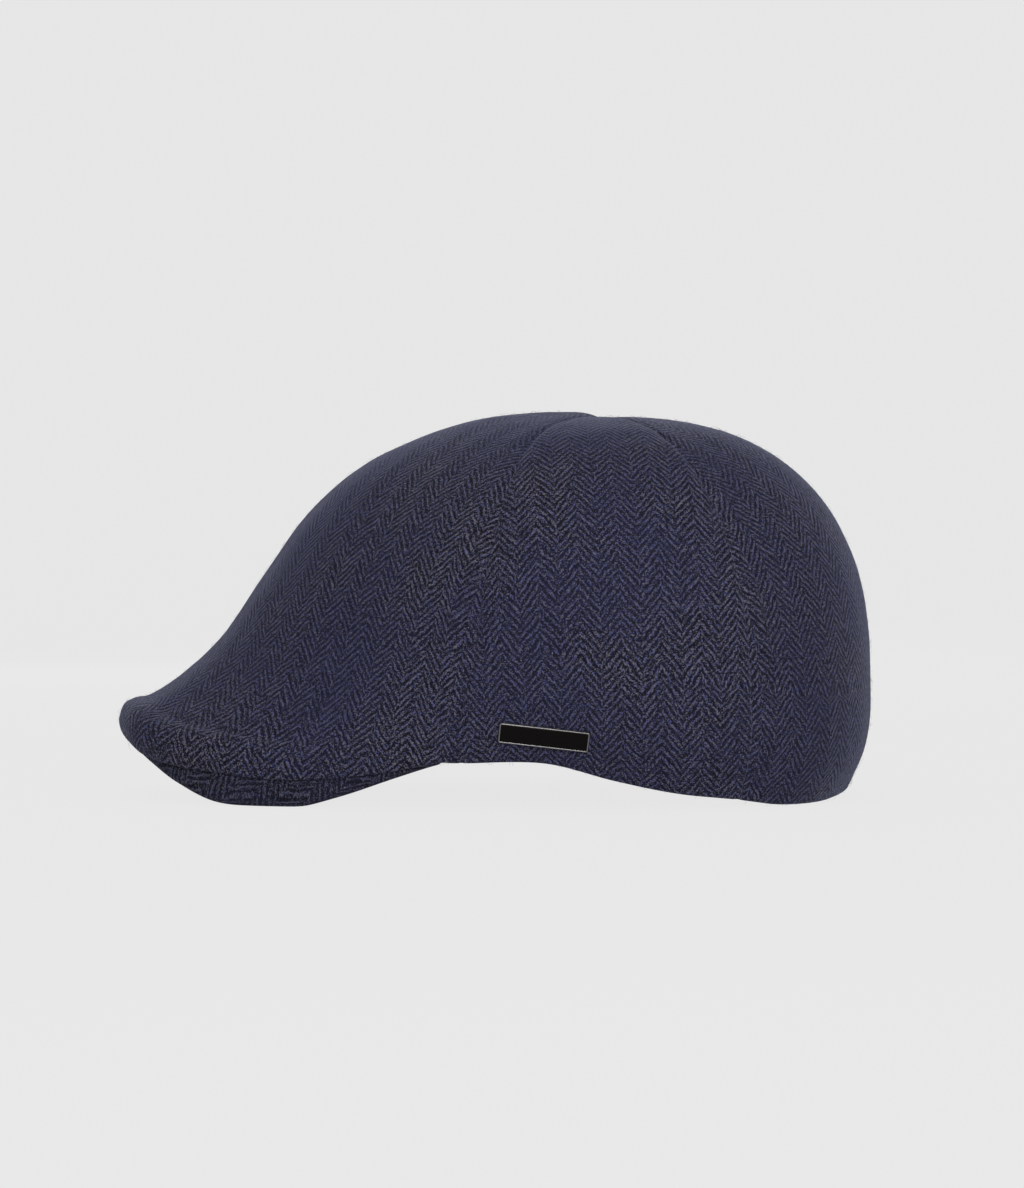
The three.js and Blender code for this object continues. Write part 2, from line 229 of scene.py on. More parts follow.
def seamPlace(seam, share):
    if abs(seam) == frontSeam:
        return seam + math.copysign(crown["frontSeamBow"], seam) * np.sin(math.pi * share)
    if abs(seam) == rearSeam:
        return seam - math.copysign(crown["rearSeamSwing"], seam) * (1 - share) ** 2
    return seam + 0 * share


# gores
gore = {
    "columns": 104,
    "crownSteps": 150,
    "turnSteps": 14,
    "riseSteps": 5,
    "puff": 0.4,  # mm that a gore swells between its seams
    "clothThickness": 1.1,
    "turnUp": 13.0,  # mm of cloth turned up inside the hem
    "seamDip": 0.5,  # depth and half width of the valley at a seam
    "seamWidth": 1.2,
    "seamRidge": 0.12,  # the pressed seam allowance beside it
    "ridgeAt": 5.0,
    "ridgeWidth": 2.4,
    "room": (4.0, 26.0),  # a gore narrower than this, near the apex, is calmer
    "wave": 0.42,  # soft unevenness of the cloth
    "waveSize": 34.0,
    "ripple": 0.13,
    "rippleSize": 9.0,
    "calm": 9.0,  # beside a seam
    "pucker": 5.0,
    "towardsSeams": 0.55,  # how the columns and rows crowd
    "towardsHem": 1.25,
    "tipShare": 0.0001,
    "hemEase": 3.0,
}


def turnPath(at, radius, turn):  # from the lower end of the crown round the hem, or under the front fold
    rise = at["foldRise"]
    leaning = radius - crown["hemLean"] * np.minimum(turn * 2, 1) ** 2
    bow = crown["hemThickness"] / 2
    around = np.clip(turn * 2 - 1, 0, 1) * math.pi
    hemRadius = leaning - bow * (1 - np.cos(around))
    hemHeight = mix(rise, bow, np.minimum(turn * 2, 1)) - bow * np.sin(around)
    curl = crown["foldCurl"]
    under = np.clip(turn / 0.65, 0, 1) * math.pi / 2
    up = np.clip((turn - 0.65) / 0.35, 0, 1) * math.pi / 2
    depth = at["foldDepth"] - curl
    foldRadius = radius - depth * (1 - np.cos(under)) - curl * np.sin(up)
    foldHeight = rise * (1 - np.sin(under)) + curl * (1 - np.cos(up))
    return mix(hemRadius, foldRadius, at["fold"]), at["height"] + mix(hemHeight, foldHeight, at["fold"])


def roundedHem(sheet, corner, fold):  # eases the bend where the crown turns into the hem
    step = np.linalg.norm(np.diff(sheet, axis=0), axis=2)
    walked = np.concatenate((np.zeros((1, sheet.shape[1])), np.cumsum(step, axis=0)))
    for column in range(sheet.shape[1]):
        walk = walked[:, column] - walked[corner, column]
        rows = np.flatnonzero(np.abs(walk) < gore["hemEase"] * 4)
        apart = (walk[rows, None] - walk[None, rows]) / gore["hemEase"]
        share = np.gradient(walk[rows])[None, :] * np.exp(-(apart ** 2))
        eased = share @ sheet[rows, column] / share.sum(axis=1, keepdims=True)
        amount = np.exp(-((walk[rows] / (gore["hemEase"] * 1.2)) ** 2))[:, None] * (1 - fold[column])
        sheet[rows, column] = mix(sheet[rows, column], eased, amount)
    return sheet


def goreSheet(first, last, columns, crownSteps, turnSteps, riseSteps, seams=True):
    t = np.linspace(0, 1, columns + 1)
    across = mix(t, 0.5 - 0.5 * np.cos(math.pi * t), gore["towardsSeams"])[None, :]
    down = 1 - (1 - np.linspace(0, 1, crownSteps + 1)) ** gore["towardsHem"]
    share = np.maximum(down, gore["tipShare"])[:, None]
    place = mix(seamPlace(first, share), seamPlace(last, share), across)
    at, radius, height = crownLine(place, share + 0 * place)
    body = placed(at, radius, height)
    edgePlace = mix(seamPlace(first, 1.0), seamPlace(last, 1.0), across[0])
    at, radius, height = crownLine(edgePlace, np.ones_like(edgePlace))
    rows = [placed(at, *turnPath(at, radius, turn)) for turn in np.linspace(0, 1, turnSteps + 1)[1:]]
    endRadius, endHeight = turnPath(at, radius, 1.0)
    high = mix(gore["turnUp"], 3.0, at["fold"]) - endHeight + at["height"]
    _, wallRadius, wallHeight = crownLine(edgePlace, np.full_like(edgePlace, 0.93))
    slope = (wallRadius - radius) / (wallHeight - height) * (1 - at["fold"])
    for step in np.linspace(0, 1, riseSteps + 1)[1:]:
        rows.append(placed(at, endRadius + slope * high * step, endHeight + high * step))
    sheet = np.concatenate((body, np.array(rows)))
    if not seams:
        return sheet
    sheet = roundedHem(sheet, crownSteps, at["fold"])
    overAll = np.gradient(sheet, axis=1)
    alongAll = np.gradient(sheet, axis=0)
    normal = np.cross(alongAll, overAll) * (1 if last > first else -1)
    normal /= np.maximum(np.linalg.norm(normal, axis=2, keepdims=True), 1e-9)
    step = np.linalg.norm(np.diff(sheet, axis=1), axis=2)
    walked = np.concatenate((np.zeros((len(sheet), 1)), np.cumsum(step, axis=1)), axis=1)
    width = walked[:, -1:]
    fromSeam = np.minimum(walked, width - walked)
    room = smooth(width, *gore["room"])
    swell = np.zeros_like(walked)
    fullness = np.sqrt(np.sin(math.pi * down))[:, None]
    swell[: crownSteps + 1] = gore["puff"] * np.sin(math.pi * across) * fullness
    outside = np.ones((len(sheet), 1))
    outside[crownSteps + turnSteps // 2 :] = 0
    outside[crownSteps : crownSteps + turnSteps // 2, 0] = np.linspace(1, 0, turnSteps // 2)
    valley = -gore["seamDip"] * np.exp(-((fromSeam / gore["seamWidth"]) ** 2)) * mix(0.3, 1, room)
    ridge = gore["seamRidge"] * np.exp(-(((fromSeam - gore["ridgeAt"]) / gore["ridgeWidth"]) ** 2)) * room
    uneven = np.zeros_like(walked)
    for row in range(len(sheet)):
        for column in range(columns + 1):
            point = Vector(sheet[row, column])
            near = 1 - math.exp(-((fromSeam[row, column] / gore["calm"]) ** 2)) * 0.4
            big = noise.noise(point / gore["waveSize"] + Vector((3.1, 0, 7.7)))
            small = noise.noise(point / gore["rippleSize"])
            uneven[row, column] = gore["wave"] * big * near + gore["ripple"] * small * room[row, 0]
            valley[row, column] *= 1 + 0.35 * noise.noise(point / gore["pucker"])
    lift = swell + (valley + ridge) * mix(0.35, 1, outside) + uneven * outside * mix(0.2, 1, room)
    return sheet + normal * lift[:, :, None]


def gridMesh(name, points, cloth, flip):  # a grid bent to the points, with its flat cloth position as UV
    rows, columns = points.shape[:2]
    bm = bmesh.new()
    bmesh.ops.create_grid(bm, x_segments=columns - 1, y_segments=rows - 1, size=1)
    uvLayer = bm.loops.layers.uv.new("cloth")
    index = {}
    for vert in bm.verts:
        column = round((vert.co.x + 1) / 2 * (columns - 1))
        row = round((vert.co.y + 1) / 2 * (rows - 1))
        index[vert] = (row, column)
    for face in bm.faces:
        for loop in face.loops:
            loop[uvLayer].uv = cloth[index[loop.vert]]
    for vert, place in index.items():
        vert.co = points[place] * mm
    if flip:
        bmesh.ops.reverse_faces(bm, faces=bm.faces)
    mesh = bpy.data.meshes.new(name)
    bm.to_mesh(mesh)
    bm.free()
    mesh.shade_smooth()
    thing = bpy.data.objects.new(name, mesh)
    scene.collection.objects.link(thing)
    return thing


def walkedLength(sheet):  # of all the steps of a grid
    return sum(np.linalg.norm(np.diff(sheet, axis=axis), axis=2).sum() for axis in (1, 0))


# unwraps a coarse copy to true size, and turns it so that its grain lies at that angle in the side view
def flatCloth(points, lean, centre):
    rows, columns = points.shape[:2]
    blank = gridMesh("pattern", points, np.zeros((rows, columns, 2)), False)
    view = bpy.context.view_layer
    view.objects.active = blank
    blank.select_set(True)
    bpy.ops.object.mode_set(mode="EDIT")
    bpy.ops.mesh.select_all(action="SELECT")
    bpy.ops.uv.unwrap(method="ANGLE_BASED", margin=0.001)
    bpy.ops.object.mode_set(mode="OBJECT")
    flat = np.zeros((rows, columns, 2))
    mesh = blank.data
    listed = points.reshape(-1, 3)
    where = [np.argmin(np.linalg.norm(listed - np.array(v.co) / mm, axis=1)) for v in mesh.vertices]
    for loop, uv in zip(mesh.loops, mesh.uv_layers["cloth"].data):
        flat[divmod(where[loop.vertex_index], columns)] = uv.uv
    bpy.data.objects.remove(blank)
    bpy.data.meshes.remove(mesh)
    flat *= walkedLength(points) / walkedLength(flat)
    row, column = int(centre[0] * rows), int(centre[1] * columns)
    down, flatDown = (sheet[row + 2, column] - sheet[row - 2, column] for sheet in (points, flat))
    over, flatOver = (sheet[row, column + 2] - sheet[row, column - 2] for sheet in (points, flat))
    wanted = np.array((math.cos(math.radians(lean)), math.sin(math.radians(lean))))
    parts = np.linalg.solve(np.array([[down[0], over[0]], [down[2], over[2]]]), wanted)
    grain = parts[0] * flatDown + parts[1] * flatOver
    turn = math.pi / 2 - math.atan2(grain[1], grain[0])
    spin = np.array([[math.cos(turn), -math.sin(turn)], [math.sin(turn), math.cos(turn)]])
    flat = flat @ spin.T
    return flat - flat[row, column]


def finer(flat, coarseRows, coarseColumns, rows, columns):  # the flat cloth at each point of the full grid
    byRow = np.stack(
        [[np.interp(columns, coarseColumns, line[:, k]) for k in range(2)] for line in flat], axis=0
    )
    out = np.empty((len(rows), len(columns), 2))
    for k in range(2):
        for c in range(len(columns)):
            out[:, c, k] = np.interp(rows, coarseRows, byRow[:, k, c])
    return out


def rowPlaces(steps):  # 0 to 1 down the crown, to 2 round the turn and to 3 up the inside
    counts = (steps["crownSteps"], steps["turnSteps"], steps["riseSteps"])
    return np.concatenate([[0.0]] + [part + np.linspace(0, 1, count + 1)[1:] for part, count in enumerate(counts)])


goreCuts = {  # seams on either side, the grain's angle in the side view, and where the grain is set
    "front_panel": (0, frontSeam, 75.0, (0.6, 0.65)),
    "side_panel": (frontSeam, rearSeam, 90.0, (0.6, 0.5)),
    "back_panel": (rearSeam, backSeam, 88.0, (0.6, 0.4)),
}
coarse = {"columns": 16, "crownSteps": 36, "turnSteps": 6, "riseSteps": 2}
fine = {key: gore[key] for key in coarse}
cloths = {}
for cut, (first, last, lean, centre) in goreCuts.items():
    pattern = goreSheet(first, last, **coarse, seams=False)
    flat = flatCloth(pattern, lean, centre)
    flat = finer(
        flat,
        rowPlaces(coarse),
        np.linspace(0, 1, coarse["columns"] + 1),
        rowPlaces(fine),
        np.linspace(0, 1, fine["columns"] + 1),
    )
    for side, sign in (("left", 1), ("right", -1)):
        sheet = goreSheet(first * sign, last * sign, **fine)
        piece = gridMesh(f"{cut}_cloth_{side}", sheet, flat * (sign, 1), sign > 0)
        wall = piece.modifiers.new("wall", "SOLIDIFY")
        wall.thickness = gore["clothThickness"] * mm
        wall.offset = -1
        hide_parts(f"{cut}_{side}")
        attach(piece, "root")
        cloths[piece.name] = piece
print("six gores sewn")

# peak
peak = {
    "thickness": 4.0,
    "noseRise": 5.0,
    "deckHeight": 20.5,
    "squareness": 2.4,
    "foreheadReach": 114.0,
    "foreheadLift": 1.5,
    "tipDeck": 1.0,
    "gap": 0.3,
    "columns": 200,
    "shoulderSteps": 18,
    "deckSteps": 12,
    "rimSteps": 10,
    "towardsTips": 1.35,
    "tipLength": 0.16,  # in rows of the rim table
    "grain": 42.0,  # degrees in the side view
}


def peakSection(place):  # one closed line round the peak's section: radius and height of each point
    at = rimAt(np.array(float(place)))
    at = {key: float(value) for key, value in at.items()}
    _, outerRadius, _ = crownLine(np.array(float(place)), np.array(1.0))
    hemInside = float(outerRadius) - crown["hemLean"] - crown["hemThickness"]
    foldInside = float(outerRadius) - at["foldDepth"]
    inside = mix(hemInside, foldInside, at["fold"])
    half = peak["thickness"] / 2
    squareness = peak["squareness"]
    rise = mix(peak["deckHeight"], at["edge"] + peak["noseRise"], at["nose"]) - at["edge"]
    touch = min(max((at["height"] - at["edge"]) / rise, 0), 1)
    lean = at["shoulder"] * (1 - (1 - touch ** squareness) ** (1 / squareness))
    edgeRadius = inside - peak["gap"] + lean
    foreheadHalfWidth = crown["halfWidth"] - crown["sideTuck"] - crown["hemThickness"]
    forehead = 1 / math.hypot(
        math.cos(at["azimuth"]) / peak["foreheadReach"], math.sin(at["azimuth"]) / foreheadHalfWidth
    )
    innerRadius = min(forehead, edgeRadius - peak["thickness"] - at["shoulder"] - peak["tipDeck"])
    line = []
    for step in range(peak["deckSteps"]):
        deck = 1 - step / peak["deckSteps"]
        radius = mix(edgeRadius - at["shoulder"], innerRadius + half, deck)
        line.append((radius, at["edge"] + rise + peak["foreheadLift"] * deck))
    for step in range(peak["shoulderSteps"]):
        angle = (1 - step / peak["shoulderSteps"]) * math.pi / 2
        inwards = at["shoulder"] * (1 - math.cos(angle) ** (2 / squareness))
        up = math.sin(angle) ** (2 / squareness)
        line.append((edgeRadius - inwards, at["edge"] + half + (rise - half) * up))
    for step in range(peak["rimSteps"]):
        angle = step / peak["rimSteps"] * math.pi
        line.append((edgeRadius - half + half * math.cos(angle), at["edge"] + half - half * math.sin(angle)))
    for step in range(peak["shoulderSteps"]):
        angle = step / peak["shoulderSteps"] * math.pi / 2
        inwards = at["shoulder"] * (1 - math.cos(angle) ** (2 / squareness))
        up = math.sin(angle) ** (2 / squareness)
        line.append((edgeRadius - 2 * half - inwards, at["edge"] + half + (rise - 3 * half) * up))
    for step in range(peak["deckSteps"]):
        deck = step / peak["deckSteps"]
        radius = mix(edgeRadius - 2 * half - at["shoulder"], innerRadius + half, deck)
        line.append((radius, at["edge"] + rise - 2 * half + peak["foreheadLift"] * deck))
    for step in range(peak["rimSteps"] + 1):
        angle = step / peak["rimSteps"] * math.pi
        height = at["edge"] + rise + peak["foreheadLift"] - half
        line.append((innerRadius + half - half * math.sin(angle), height - half * math.cos(angle)))
    return at, np.array(line)


def peakSheet(columns):
    t = np.linspace(-1, 1, columns + 1)
    places = peakTip * np.sign(t) * (1 - (1 - np.abs(t)) ** peak["towardsTips"])
    lines = []
    for place in places:
        at, line = peakSection(place)
        end = min((peakTip - abs(place)) / peak["tipLength"], 1)
        shrink = math.sqrt(max(1 - (1 - end) ** 2, 0))
        middle = line.mean(axis=0)
        line = middle + (line - middle) * shrink
        lines.append(placed(at, line[:, 0], line[:, 1]))
    return np.stack(lines, axis=1)


peakGrid = peakSheet(peak["columns"])
outerRows = peak["deckSteps"] + peak["shoulderSteps"] + peak["rimSteps"] + 1
pick = np.linspace(0, outerRows - 1, 16).round().astype(int)
pickColumns = np.linspace(4, peak["columns"] - 4, 41).round().astype(int)
topSide = peakGrid[np.ix_(pick, pickColumns)]
peakFlat = flatCloth(topSide, peak["grain"], (0.72, 0.74))
peakFlat = finer(peakFlat, pick, pickColumns, np.arange(outerRows), np.arange(peak["columns"] + 1))
underRows = len(peakGrid) - outerRows
back = np.clip(peak["deckSteps"] + peak["shoulderSteps"] - np.arange(1, underRows + 1), 0, None)
peakFlat = np.concatenate((peakFlat, peakFlat[back]))
peakPiece = gridMesh("peak_cloth", peakGrid, peakFlat, False)
bm = bmesh.new()
bm.from_mesh(peakPiece.data)
bmesh.ops.remove_doubles(bm, verts=bm.verts, dist=0.00002)
bmesh.ops.recalc_face_normals(bm, faces=bm.faces)
bm.to_mesh(peakPiece.data)
bm.free()
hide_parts("peak")
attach(peakPiece, "root")
print("peak covered")

# badge
badge = {
    "length": 30.5,
    "height": 6.7,
    "ahead": 22.2,
    "lift": 25.0,
    "tilt": 6.3,
    "thickness": 1.6,
    "rim": 0.4,
    "corner": 0.7,
    "recess": 0.6,
    "edge": 0.16,
    "off": 0.25,
    "leanIn": 0.21,  # radians, as the cloth leans in to the hem
    "slices": 24,
    "enamelDepth": 0.55,
    "enamelEdge": 0.12,
    "enamelClear": 0.06,
    "enamelLift": 0.03,
}


def plate(length, height, corner, depth):  # a flat plate with rounded corners, along X and up Z, facing -Y
    bm = bmesh.new()
    bmesh.ops.create_cube(bm, size=1)
    bmesh.ops.scale(bm, vec=(length, depth, height), verts=bm.verts)
    bmesh.ops.translate(bm, vec=(0, -depth / 2, 0), verts=bm.verts)
    upright = [e for e in bm.edges if abs(e.verts[0].co.y - e.verts[1].co.y) > depth / 2]
    bmesh.ops.bevel(bm, geom=upright, offset=corner, segments=5, profile=0.5, affect="EDGES", material=-1)
    return bm


def frontFace(bm):
    return min(bm.faces, key=lambda face: face.calc_center_median().y)


def onSide(along, up):  # side-view place of a point of the badge, in metres
    tilt = math.radians(badge["tilt"])
    x = apexAhead - badge["ahead"] + along * math.cos(tilt) + up * math.sin(tilt)
    return x * mm, (badge["lift"] - along * math.sin(tilt) + up * math.cos(tilt)) * mm


def clothUnder(tree):  # the cloth's face under the badge, as a smooth sum of powers
    touched = []
    for along in np.linspace(-0.5, 0.5, 21) * badge["length"]:
        for up in np.linspace(-0.5, 0.5, 7) * badge["height"]:
            x, z = onSide(along, up)
            touched.append((along, up, tree.ray_cast(Vector((x, -0.3, z)), Vector((0, 1, 0)))[0].y))
    along, up, y = np.array(touched).T
    terms = np.stack((np.ones_like(along), along, up, along ** 2, along * up, up ** 2), axis=1)
    return np.linalg.lstsq(terms, y, rcond=None)[0]


def ontoCloth(bm, face, facing, off):  # lays a flat piece on the side gore
    for vert in bm.verts:
        along, out, up = vert.co
        x, z = onSide(along, up)
        y = float(face @ (1, along, up, along ** 2, along * up, up ** 2))
        vert.co = Vector((x, y, z)) + facing * ((off - out) * mm)


def sliced(bm, length):  # cuts across, so that the plate can bend
    for step in range(1, badge["slices"]):
        x = (step / badge["slices"] - 0.5) * length
        bmesh.ops.bisect_plane(
            bm, geom=bm.verts[:] + bm.edges[:] + bm.faces[:], plane_co=(x, 0, 0), plane_no=(1, 0, 0)
        )


def asPiece(name, bm, replaced=()):
    bmesh.ops.recalc_face_normals(bm, faces=bm.faces)
    mesh = bpy.data.meshes.new(name)
    bm.to_mesh(mesh)
    bm.free()
    thing = bpy.data.objects.new(name, mesh)
    scene.collection.objects.link(thing)
    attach(thing, "root")
    if replaced:
        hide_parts(*replaced)
    return thing


sideGore = cloths["side_panel_cloth_left"]
sideTree = BVHTree.FromPolygons(
    [v.co.copy() for v in sideGore.data.vertices], [p.vertices[:] for p in sideGore.data.polygons]
)
badgeBed = clothUnder(sideTree)
badgeFacing = Vector((0, -math.cos(badge["leanIn"]), -math.sin(badge["leanIn"])))

tray = plate(badge["length"], badge["height"], badge["corner"], badge["thickness"])
front = frontFace(tray)
bmesh.ops.inset_region(tray, faces=[front], thickness=badge["rim"], use_even_offset=True)
sunk = bmesh.ops.extrude_discrete_faces(tray, faces=[front])["faces"]
bmesh.ops.translate(tray, vec=(0, badge["recess"], 0), verts=sunk[0].verts)
rimFace = -badge["thickness"] + 0.01
crisp = [
    e
    for e in tray.edges
    if e.calc_face_angle(0) > 0.9 and e.calc_length() > 0.01 and min(v.co.y for v in e.verts) < rimFace
]
bmesh.ops.bevel(tray, geom=crisp, offset=badge["edge"], segments=3, profile=0.5, affect="EDGES", material=-1)
sliced(tray, badge["length"])
ontoCloth(tray, badgeBed, badgeFacing, badge["off"])
badgeFrame = asPiece("badge_tray", tray, ("badge_frame",))
badgeFrame.data.shade_smooth()
badgeFrame.modifiers.new("corners", "WEIGHTED_NORMAL").keep_sharp = True

clear = badge["rim"] + badge["enamelClear"]
fillLength = badge["length"] - 2 * clear
fill = plate(fillLength, badge["height"] - 2 * clear, badge["corner"] * 0.6, badge["enamelDepth"])
lip = list(frontFace(fill).edges)
bmesh.ops.bevel(fill, geom=lip, offset=badge["enamelEdge"], segments=3, profile=0.5, affect="EDGES", material=-1)
sliced(fill, fillLength)
ontoCloth(fill, badgeBed, badgeFacing, badge["off"] + badge["thickness"] - badge["recess"] + badge["enamelLift"])
badgeEnamel = asPiece("badge_enamel", fill, ("badge_inlay",))
badgeEnamel.data.shade_smooth()
print("badge set")

# loose fibres of the napped wool
nap = {
    "count": 7600,
    "length": (1.2, 3.4),  # mm
    "thickness": 0.06,
    "rise": 0.55,
    "curl": 0.6,
    "leastFace": 2e-7,  # square metres
}


def looseFibres(sources):
    curve = bpy.data.curves.new("fibres", "CURVE")
    curve.dimensions = "3D"
    curve.bevel_depth = nap["thickness"] / 2 * mm
    curve.bevel_resolution = 0
    polygons = [
        (source, polygon)
        for source in sources
        for polygon in source.data.polygons
        if polygon.area > nap["leastFace"]
    ]
    weights = np.cumsum([polygon.area for _, polygon in polygons])
    for _ in range(nap["count"] // (1)):
        source, polygon = polygons[int(np.searchsorted(weights, random.random() * weights[-1]))]
        start = polygon.center.copy()
        corner = source.data.vertices[random.choice(polygon.vertices)].co
        start = start.lerp(corner, random.random() * 0.7)
        lie = polygon.normal.cross(Vector([random.uniform(-1, 1) for _ in range(3)]))
        lie.normalize()
        bend = polygon.normal.cross(lie)
        length = random.uniform(*nap["length"]) * mm
        rise = random.uniform(0.1, 1) * nap["rise"]
        curl = random.uniform(-nap["curl"], nap["curl"])
        spline = curve.splines.new("POLY")
        spline.points.add(3)
        for step, point in enumerate(spline.points):
            part = step / 3
            place = start + lie * (length * part * 0.8) + bend * (length * curl * part * part)
            place += polygon.normal * (length * rise * math.sin(part * 2.3) * 0.6)
            point.co = (*place, 1)
            point.radius = 1 - 0.6 * part
    strands = bpy.data.objects.new("fibres", curve)
    scene.collection.objects.link(strands)
    mesh = bpy.data.meshes.new_from_object(strands.evaluated_get(bpy.context.evaluated_depsgraph_get()))
    bpy.data.objects.remove(strands)
    bpy.data.curves.remove(curve)
    mesh.name = "loose_fibres"
    thing = bpy.data.objects.new("loose_fibres", mesh)
    scene.collection.objects.link(thing)
    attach(thing, "root")
    return thing


fibres = looseFibres(list(cloths.values()))
print("nap raised:", len(fibres.data.polygons), "faces")

# materials
class Nodes:  # short ways to add nodes to one tree
    def __init__(self, tree):
        self.tree = tree

    def put(self, socket, value):
        if isinstance(value, bpy.types.NodeSocket):
            self.tree.links.new(value, socket)
        else:
            socket.default_value = value

    def math(self, operation, *values):
        node = self.tree.nodes.new("ShaderNodeMath")
        node.operation = operation
        for socket, value in zip(node.inputs, values):
            self.put(socket, value)
        return node.outputs[0]

    def noise(self, vector, scale, detail=2.0, roughness=0.5):
        node = self.tree.nodes.new("ShaderNodeTexNoise")
        self.put(node.inputs["Vector"], vector)
        self.put(node.inputs["Scale"], scale)
        self.put(node.inputs["Detail"], detail)
        self.put(node.inputs["Roughness"], roughness)
        return node.outputs["Fac"], node.outputs["Color"]

    def mixColour(self, part, first, second):
        node = self.tree.nodes.new("ShaderNodeMix")
        node.data_type = "RGBA"
        self.put(node.inputs["Factor"], part)
        self.put(node.inputs["A"], first)
        self.put(node.inputs["B"], second)
        return node.outputs["Result"]

    def span(self, value, low, high, toLow=0.0, toHigh=1.0):
        node = self.tree.nodes.new("ShaderNodeMapRange")
        names = ("Value", "From Min", "From Max", "To Min", "To Max")
        for name, given in zip(names, (value, low, high, toLow, toHigh)):
            self.put(node.inputs[name], given)
        return node.outputs["Result"]

    def vector(self, x, y, z):
        node = self.tree.nodes.new("ShaderNodeCombineXYZ")
        for socket, value in zip(node.inputs, (x, y, z)):
            self.put(socket, value)
        return node.outputs[0]


weave = {  # millimetres of cloth
    "columnWidth": 6.65,
    "pitch": 3.0,
    "slant": 1.19,  # rise of a stroke for each millimetre across
    "ragged": 0.55,
}
weaveInputs = {"Column width": "columnWidth", "Pitch": "pitch", "Slant": "slant", "Ragged": "ragged"}


def herringboneGroup():
    tree = bpy.data.node_groups.new("herringboneWeave", "ShaderNodeTree")
    face = tree.interface
    face.new_socket("Cloth", in_out="INPUT", socket_type="NodeSocketVector")
    for name, key in weaveInputs.items():
        face.new_socket(name, in_out="INPUT", socket_type="NodeSocketFloat").default_value = weave[key]
    for name in ("Stroke", "Height", "Heather"):
        face.new_socket(name, in_out="OUTPUT", socket_type="NodeSocketFloat")
    given = tree.nodes.new("NodeGroupInput")
    result = tree.nodes.new("NodeGroupOutput")
    n = Nodes(tree)
    split = tree.nodes.new("ShaderNodeSeparateXYZ")
    tree.links.new(given.outputs["Cloth"], split.inputs[0])
    width, pitch, slant, ragged = (given.outputs[name] for name in weaveInputs)
    _, drift = n.noise(given.outputs["Cloth"], 0.16, 2)
    drifts = tree.nodes.new("ShaderNodeSeparateColor")
    tree.links.new(drift, drifts.inputs[0])
    _, jag = n.noise(given.outputs["Cloth"], 1.1, 2, 0.6)
    jags = tree.nodes.new("ShaderNodeSeparateColor")
    tree.links.new(jag, jags.inputs[0])
    u = n.math("ADD", split.outputs["X"], n.math("MULTIPLY_ADD", drifts.outputs[0], 1.6, -0.8))
    u = n.math("ADD", u, n.math("MULTIPLY", n.math("SUBTRACT", jags.outputs[0], 0.5), ragged))
    v = n.math("ADD", split.outputs["Y"], n.math("MULTIPLY_ADD", drifts.outputs[1], 2.4, -1.2))
    raggedDown = n.math("MULTIPLY", ragged, 2.2)
    v = n.math("ADD", v, n.math("MULTIPLY", n.math("SUBTRACT", jags.outputs[1], 0.5), raggedDown))
    back = n.math("PINGPONG", u, width)
    column = n.math("FLOOR", n.math("DIVIDE", u, width))
    odd = n.math("FLOORED_MODULO", column, 2.0)
    phase = n.math("DIVIDE", n.math("MULTIPLY_ADD", back, slant, v), pitch)
    phase = n.math("MULTIPLY_ADD", odd, 0.28, phase)
    wave = n.math("MULTIPLY_ADD", n.math("COSINE", n.math("MULTIPLY", phase, math.tau)), 0.5, 0.5)
    stretched = ((back, 0.55), (phase, 3.4), (column, 7.3))
    along = n.vector(*(n.math("MULTIPLY", value, times) for value, times in stretched))
    streak, _ = n.noise(along, 1.25, 2, 0.6)
    yarn, _ = n.noise(given.outputs["Cloth"], 1.7, 3, 0.75)
    heather, _ = n.noise(given.outputs["Cloth"], 0.75, 3, 0.7)
    stroke = n.math("ADD", wave, n.math("MULTIPLY", n.math("SUBTRACT", streak, 0.5), 3.2))
    stroke = n.math("ADD", stroke, n.math("MULTIPLY", n.math("SUBTRACT", yarn, 0.5), 8.0))
    stroke = n.math("POWER", n.span(stroke, 0.05, 1.45), 2.0)
    height = n.math("ADD", n.math("MULTIPLY", wave, 0.55), n.math("MULTIPLY", yarn, 0.7))
    height = n.math("ADD", height, n.math("MULTIPLY", streak, 0.35))
    for name, value in (("Stroke", stroke), ("Height", height), ("Heather", heather)):
        tree.links.new(value, result.inputs[name])
    return tree


weaveGroup = herringboneGroup()


